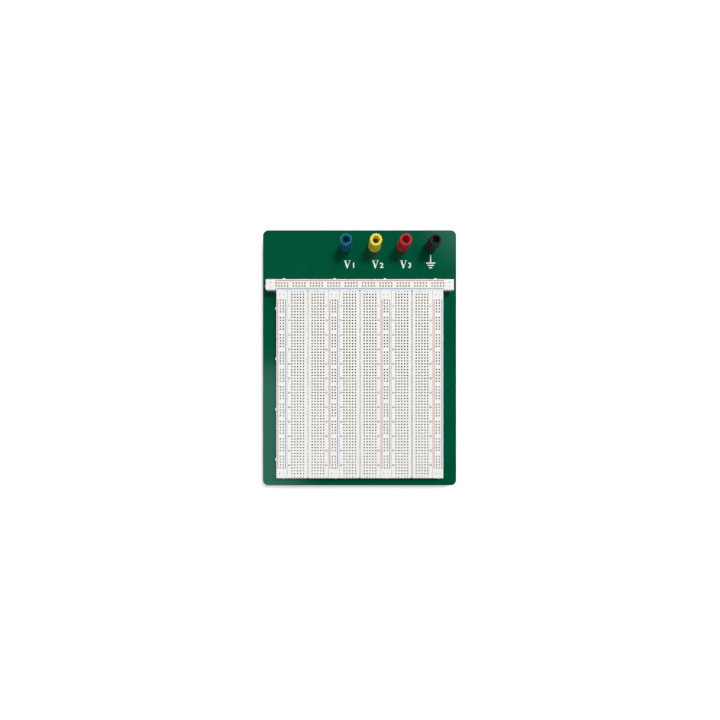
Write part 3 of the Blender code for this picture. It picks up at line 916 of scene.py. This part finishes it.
def bus_prints():
    """A line along each row of holes and its sign at both ends: red on the left, blue on the right."""
    length = BUS_ROW_LENGTH + 2 * LINE_PAST_HOLES
    end = STRIP_LENGTH / 2 - SIGN_FROM_END
    red = [rectangle(LINE_WIDTH, length, -LINE_FROM_MIDDLE)]
    blue = [rectangle(LINE_WIDTH, length, LINE_FROM_MIDDLE)]
    for y in (-end, end):
        red.append(plus_sign(-SIGN_FROM_MIDDLE, y))
        blue.append(rectangle(SIGN_SIZE, SIGN_STROKE, SIGN_FROM_MIDDLE, y))
    return film(red, STRIP_HEIGHT), film(blue, STRIP_HEIGHT)


def terminal_print():
    """Letters over and under the columns, and every fifth row's number outside the banks."""
    marks = []
    for bank, letters in ((-1, "abcde"), (1, "fghij")):
        for i, letter in enumerate(letters):
            x = bank * BANK_STEP / 2 + (i - (BANK_COLUMNS - 1) / 2) * PITCH
            mark = lettering(letter, LETTER_SIZE, PRINT_WEIGHT)
            for end in (-1, 1):
                marks.append(placed(mark, x, end * (STRIP_LENGTH / 2 - LETTER_FROM_END), STRIP_HEIGHT))
        column = bank * (BANK_STEP / 2 + (BANK_COLUMNS - 1) / 2 * PITCH + NUMBER_FROM_COLUMN)
        for row in range(NUMBER_EVERY, TERMINAL_ROWS + 1, NUMBER_EVERY):
            y = ((TERMINAL_ROWS + 1) / 2 - row) * PITCH
            mark = lettering(str(row), NUMBER_SIZE, PRINT_WEIGHT)
            marks.append(placed(mark, column, y, STRIP_HEIGHT))
    return joined(marks)


def make_strips():
    """The strips with their contacts, prints and foam, each where its foam pad lies."""
    perforation = perforation_tree()
    contacts = contact_tree()
    bus = bus_body(perforation)
    rail = bus_rail(contacts)
    red, blue = bus_prints()
    for name in ("top", "1", "2", "3", "4"):
        turn = -math.pi / 2 if name == "top" else 0.0
        pad = "foam_pad_bus_" + name
        seat = (*middle(pad), STRIP_BOTTOM, turn)
        stand_for("bus_strip_" + name, placed(bus, *seat))
        show(f"bus_{name}_print_red", placed(red, *seat), RED_INK, "board")
        show(f"bus_{name}_print_blue", placed(blue, *seat), BLUE_INK, "board")
        for line in ("red", "blue"):
            node = f"bus_{name}_rail_{line}"
            stand_for(node, placed(rail, *middle(node), STRIP_BOTTOM + CONTACT_LIFT, turn))
        stand_for(pad, foam_pad(pad))
    terminal = terminal_body(perforation)
    clips = terminal_contacts(contacts)
    marks = terminal_print()
    for name in ("1", "2", "3"):
        pad = "foam_pad_terminal_" + name
        x, y = middle(pad)
        stand_for("terminal_strip_" + name, placed(terminal, x, y, STRIP_BOTTOM))
        clip_mesh = placed(clips, x, y, STRIP_BOTTOM + CONTACT_LIFT)
        clip_piece = show(f"terminal_{name}_clips", clip_mesh, FINISHES["spring_alloy"], "board")
        show(f"terminal_{name}_print", placed(marks, x, y, STRIP_BOTTOM), GREY_INK, "board")
        stand_for(pad, foam_pad(pad))


# Binding posts


def threaded(crest, depth, start, end):
    """Profile points of a right-hand thread from one height to another."""

    def radius(angle, height):
        phase = (height / THREAD_PITCH - angle / math.tau) % 1
        return crest - depth * abs(2 * phase - 1)

    count = math.ceil(abs(end - start) / THREAD_PITCH * THREAD_STEPS)
    return [(radius, start + (end - start) * i / count) for i in range(count + 1)]


def cap_mesh():
    """The knob: rounded flutes, a tapered mouth, a bore for the stud and a seat for the insert."""
    low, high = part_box("blue_post_cap")
    radius = (high.x - low.x) / 2
    insert_low, insert_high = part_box("blue_post_insert")
    counterbore = (insert_high.x - insert_low.x) / 2 + HAIRLINE
    insert_top = insert_high.z + HAIRLINE
    bore_end = high.z - CAP_MOUTH_DEPTH

    def fluted(inset):
        def reach(angle, height):
            return radius - inset - FLUTE_DEPTH * (1 - abs(math.cos(FLUTE_COUNT / 2 * angle)))

        return reach

    quarter = [math.pi / 2 * i / RIM_STEPS for i in range(RIM_STEPS + 1)]
    rim = [(CAP_RIM * (1 - math.sin(a)), CAP_RIM * (1 - math.cos(a))) for a in quarter]
    profile = [(fluted(inset), high.z - drop) for inset, drop in rim]
    profile += [(fluted(inset), low.z + drop) for inset, drop in reversed(rim)]
    profile += [(counterbore, low.z), (counterbore, insert_top), (STUD_BORE, insert_top)]
    profile += [(STUD_BORE, bore_end), (CAP_THROAT, bore_end), (CAP_MOUTH, high.z - CAP_RIM / 2)]
    profile += [(CAP_MOUTH + CAP_RIM / 2, high.z)]
    return turned(profile, FLUTE_COUNT * FLUTE_STEPS)


def insert_mesh():
    """The brass bush in the cap: knurled outside, threaded inside."""
    low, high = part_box("blue_post_insert")
    outer = (high.x - low.x) / 2

    def knurled(angle, height):
        return outer - KNURL_DEPTH * (1 + math.cos(KNURL_COUNT * angle)) / 2

    chamfer = THREAD_DEPTH
    profile = [(outer - chamfer, high.z), (knurled, high.z - chamfer), (knurled, low.z + chamfer)]
    profile += [(outer - chamfer, low.z), (STUD_BORE + chamfer, low.z)]
    profile += threaded(STUD_BORE, THREAD_DEPTH / 2, low.z + chamfer, high.z - chamfer)
    profile += [(STUD_BORE + chamfer, high.z)]
    return turned(profile, KNURL_COUNT * KNURL_STEPS)


def stud_mesh():
    """The metal post: a 4 mm socket, a thread, a flange, a threaded shank and a cross hole for a wire."""
    low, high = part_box("blue_post_stud")
    flange_radius = (high.x - low.x) / 2
    flange_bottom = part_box("blue_post_collar")[1].z + HAIRLINE
    flange_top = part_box("blue_post_cap")[0].z - HAIRLINE
    floor = high.z - SOCKET_DEPTH
    chamfer = THREAD_DEPTH
    profile = [(0, floor), (SOCKET_RADIUS, floor), (SOCKET_RADIUS, high.z - chamfer)]
    profile += [(SOCKET_RADIUS + chamfer, high.z), (STUD_RADIUS - chamfer, high.z)]
    profile += threaded(STUD_RADIUS, THREAD_DEPTH, high.z - chamfer, flange_top + chamfer)
    profile += [(STUD_RADIUS - chamfer, flange_top), (flange_radius - chamfer / 2, flange_top)]
    profile += [(flange_radius, flange_top - chamfer / 2), (flange_radius, flange_bottom + chamfer / 2)]
    profile += [(flange_radius - chamfer / 2, flange_bottom), (SHANK_RADIUS, flange_bottom)]
    profile += threaded(SHANK_RADIUS, THREAD_DEPTH, PLATE_BOTTOM, low.z + chamfer)
    profile += [(SHANK_RADIUS - 2 * chamfer, low.z), (0, low.z)]
    rim = arc(WIRE_HOLE_RADIUS, 0, 360, WIRE_HOLE_STEPS)[:-1]
    hole = prisms([rim], -2 * STUD_RADIUS, 2 * STUD_RADIUS)
    rise = flange_top + WIRE_HOLE_RISE
    hole.transform(Matrix.Translation((0, 0, rise)) @ Matrix.Rotation(math.pi / 2, 4, "X"))
    stud = combined(turned(profile), hole, "DIFFERENCE")
    stud.shade_smooth()
    stud.set_sharp_from_angle(angle=STUD_SMOOTH_ANGLE)
    return stud


def collar_mesh():
    """The insulating collar under the flange, with a spigot down through the plate."""
    low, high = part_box("blue_post_collar")
    radius = (high.x - low.x) / 2
    seat = PLATE_TOP + HAIRLINE
    foot_edge = COLLAR_EDGE / 4
    profile = arc(COLLAR_EDGE, 90, 0, RIM_STEPS, radius - COLLAR_EDGE, high.z - COLLAR_EDGE)
    profile += [(radius, seat + foot_edge), (radius - foot_edge, seat), (SPIGOT_RADIUS, seat)]
    profile += [(SPIGOT_RADIUS, low.z), (SHANK_BORE, low.z), (SHANK_BORE, high.z)]
    return turned(profile)


def washer_mesh():
    """The insulating washer under the plate, its edges broken."""
    low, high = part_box("blue_post_washer")
    radius = (high.x - low.x) / 2
    top = PLATE_BOTTOM - HAIRLINE
    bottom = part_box("blue_post_lug")[1].z + HAIRLINE
    face = radius - WASHER_EDGE
    profile = [(face, top), (radius, top - WASHER_EDGE), (radius, bottom + WASHER_EDGE), (face, bottom)]
    profile += [(SHANK_BORE, bottom), (SHANK_BORE, top)]
    return turned(profile)


def lug_mesh():
    """The solder lug: a ring with a tail towards the strips and a hole in the tail for a wire."""
    low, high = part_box("blue_post_lug")
    radius = (high.x - low.x) / 2
    half = LUG_TAIL_WIDTH / 2
    spread = math.degrees(math.asin(half / radius))
    tail_end = low.y - middle("blue_post_cap")[1]
    outline = arc(radius, -90 + spread, 270 - spread, LUG_RING_STEPS)
    outline += arc(half, 180, 360, LUG_TAIL_STEPS, 0, tail_end + half)
    holes = []
    for hole_radius, hole_y in ((SHANK_BORE, 0), (LUG_HOLE_RADIUS, tail_end + LUG_HOLE_INSET)):
        holes.append(arc(hole_radius, 0, 360, LUG_HOLE_STEPS, 0, hole_y)[:-1])
    sheet = high.z - low.z
    drill = prisms(holes, low.z - sheet, high.z + sheet)
    return rounded(combined(prisms([outline], low.z, high.z), drill, "DIFFERENCE"), sheet / 6)


def nut_mesh():
    """A hexagon nut: corners turned off to a cone above and below, and a chamfered thread."""
    low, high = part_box("blue_post_nut")
    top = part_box("blue_post_lug")[0].z - HAIRLINE

    def hexagon(angle, height):
        from_flat = (angle + math.pi / 6) % (math.pi / 3) - math.pi / 6
        cone = NUT_FLATS / 2 + min(top - height, height - low.z) * math.sqrt(3)
        return min(NUT_FLATS / 2 / math.cos(from_flat), cone)

    chamfer = THREAD_DEPTH
    drops = [chamfer * i / RIM_STEPS for i in range(RIM_STEPS + 1)]
    profile = [(hexagon, top - drop) for drop in drops]
    profile += [(hexagon, low.z + drop) for drop in reversed(drops)]
    profile += [(SHANK_BORE + chamfer, low.z)]
    profile += threaded(SHANK_BORE, THREAD_DEPTH / 2, low.z + chamfer, top - chamfer)
    profile += [(SHANK_BORE + chamfer, top)]
    return turned(profile, NUT_STEPS)


def make_posts():
    """Four posts from one set of meshes; only the finishes differ."""
    parts = {
        "cap": cap_mesh(),
        "insert": insert_mesh(),
        "stud": stud_mesh(),
        "collar": collar_mesh(),
        "washer": washer_mesh(),
        "lug": lug_mesh(),
        "nut": nut_mesh(),
    }
    for colour in POST_COLOURS:
        x, y = middle(colour + "_post_cap")
        for part, mesh in parts.items():
            stand_for(f"{colour}_post_{part}", placed(mesh, x, y))


# Marks on the plate


def letter_v(x):
    """A capital V with a thick left stroke, a thin right one and a serif on each."""
    half = MARK_WIDTH / 2
    top = MARK_BASE + MARK_HEIGHT
    under = top - SERIF
    left = LEFT_SERIF_WIDTH - half
    right = half - RIGHT_SERIF_WIDTH
    outline = [(-THIN_STROKE, MARK_BASE), (THIN_STROKE / 2, MARK_BASE), (half - THIN_STROKE, under)]
    outline += [(half, under), (half, top), (right, top), (right, under), (half - 2 * THIN_STROKE, under)]
    outline += [(THIN_STROKE, MARK_BASE + NOTCH_RISE), (THICK_STROKE + SERIF - half, under)]
    outline += [(left, under), (left, top), (-half, top), (-half, under), (SERIF - half, under)]
    return [(x + u, v) for u, v in outline]


def make_marks():
    """Generic terminal names by three posts and the sign for earth by the fourth, in white."""
    films = []
    for colour, number in zip(POST_COLOURS, "123"):
        x = middle(colour + "_post_cap")[0] + MARK_OFFSET
        films.append(film([letter_v(x)], PLATE_TOP))
        digit = lettering(number, DIGIT_SIZE, DIGIT_WEIGHT)
        films.append(placed(digit, x + DIGIT_STEP, MARK_BASE + DIGIT_RISE, PLATE_TOP))
    x = middle("black_post_cap")[0]
    stem = EARTH_STEM - EARTH_STROKE / 2
    bars = [rectangle(EARTH_STROKE, stem, x, MARK_BASE + EARTH_RISE + EARTH_STEM - stem / 2)]
    for i in range(EARTH_BARS):
        width = EARTH_WIDTH * (EARTH_BARS - i) / EARTH_BARS
        bars.append(rectangle(width, EARTH_STROKE, x, MARK_BASE + EARTH_RISE - i * EARTH_STEP))
    films.append(film(bars, PLATE_TOP))
    show("plate_marks", joined(films), WHITE_INK, "board")


# Floor, light and camera


def seen_rays(tree):
    """One for rays that show a backdrop, straight, mirrored or through glass, and nought for its light."""
    path = add(tree, "ShaderNodeLightPath").outputs
    seen = path["Is Camera Ray"]
    for ray in ("Is Glossy Ray", "Is Transmission Ray"):
        seen = add(tree, "ShaderNodeMath", {0: seen, 1: path[ray]}, operation="MAXIMUM").outputs[0]
    return seen


def make_floor():
    """A white sweep that keeps the shadow; a little glow of its own lifts the open floor to white."""
    shape = bmesh.new()
    shape.faces.new([shape.verts.new((x, y, 0)) for x, y in rectangle(FLOOR_SIDE, FLOOR_SIDE)])
    floor = bpy.data.objects.new("floor", mesh_of(shape))
    made = bpy.data.materials.new("white_paper")
    tree = emptied(made)
    shown = {0: seen_rays(tree), 1: FLOOR_GLOW}
    strength = add(tree, "ShaderNodeMath", shown, operation="MULTIPLY")
    paper = add(tree, "ShaderNodeBsdfDiffuse", {"Color": linear("f4f4f3")})
    glow = add(tree, "ShaderNodeEmission", {"Strength": strength.outputs[0]})
    both = add(tree, "ShaderNodeAddShader", {0: paper.outputs[0], 1: glow.outputs[0]})
    add(tree, "ShaderNodeOutputMaterial", {"Surface": both.outputs[0]})
    floor.data.materials.append(made)
    bpy.context.scene.collection.objects.link(floor)


def make_world():
    """A ring of soft light, and a pale backdrop low down that shows and gives no light."""
    world = bpy.data.worlds.new("studio")
    bpy.context.scene.world = world
    tree = emptied(world)
    way = add(tree, "ShaderNodeTexCoord").outputs["Generated"]
    along = add(tree, "ShaderNodeSeparateXYZ", {0: way}).outputs
    eases = []
    for axis, start, end, before, after in (*LIGHT_STEPS, BACKDROP_STEP):
        step = {"From Min": start, "From Max": end, "To Min": before, "To Max": after}
        step["Value"] = along[axis]
        ease = add(tree, "ShaderNodeMapRange", step, interpolation_type="SMOOTHSTEP")
        eases.append(ease.outputs["Result"])
    level = 1.0
    for ease in eases[:-1]:
        level = add(tree, "ShaderNodeMath", {0: level, 1: ease}, operation="MULTIPLY").outputs[0]
    shown = {0: eases[-1], 1: seen_rays(tree)}
    backdrop = add(tree, "ShaderNodeMath", shown, operation="MULTIPLY").outputs[0]
    level = add(tree, "ShaderNodeMath", {0: level, 1: backdrop}, operation="MAXIMUM").outputs[0]
    sky = add(tree, "ShaderNodeBackground", {"Color": (1, 1, 1, 1), "Strength": level})
    add(tree, "ShaderNodeOutputWorld", {"Surface": sky.outputs[0]})


def add_lamp(name, place, target, width, height, power, colour):
    """A soft panel lamp that faces a point; the camera doesn't see it."""
    light = bpy.data.lights.new(name, "AREA")
    light.shape = "RECTANGLE"
    light.size = width
    light.size_y = height
    light.energy = power
    light.color = linear(colour)[:3]
    lamp = bpy.data.objects.new(name, light)
    lamp.location = place
    lamp.rotation_mode = "QUATERNION"
    lamp.rotation_quaternion = (Vector(target) - Vector(place)).to_track_quat("-Z", "Y")
    lamp.visible_camera = False
    bpy.context.scene.collection.objects.link(lamp)
    return lamp


def make_light():
    """The world, the lamps to light by and the lamps to be mirrored."""
    make_world()
    for name, setting in LIGHTING_LAMPS.items():
        add_lamp(name, *setting).visible_glossy = False
    for name, setting in MIRRORED_LAMPS.items():
        add_lamp(name, *setting).visible_diffuse = False


def make_camera():
    """A camera over the plate that looks straight down."""
    data = bpy.data.cameras.new("camera")
    data.lens = CAMERA_LENS
    data.shift_x, data.shift_y = CAMERA_SHIFT
    camera = bpy.data.objects.new("camera", data)
    camera.location = CAMERA_PLACE
    bpy.context.scene.collection.objects.link(camera)
    bpy.context.scene.camera = camera


make_plate()
make_feet()
make_strips()
make_posts()
make_marks()
make_floor()
make_light()
make_camera()
bpy.context.scene.view_settings.view_transform = "Standard"
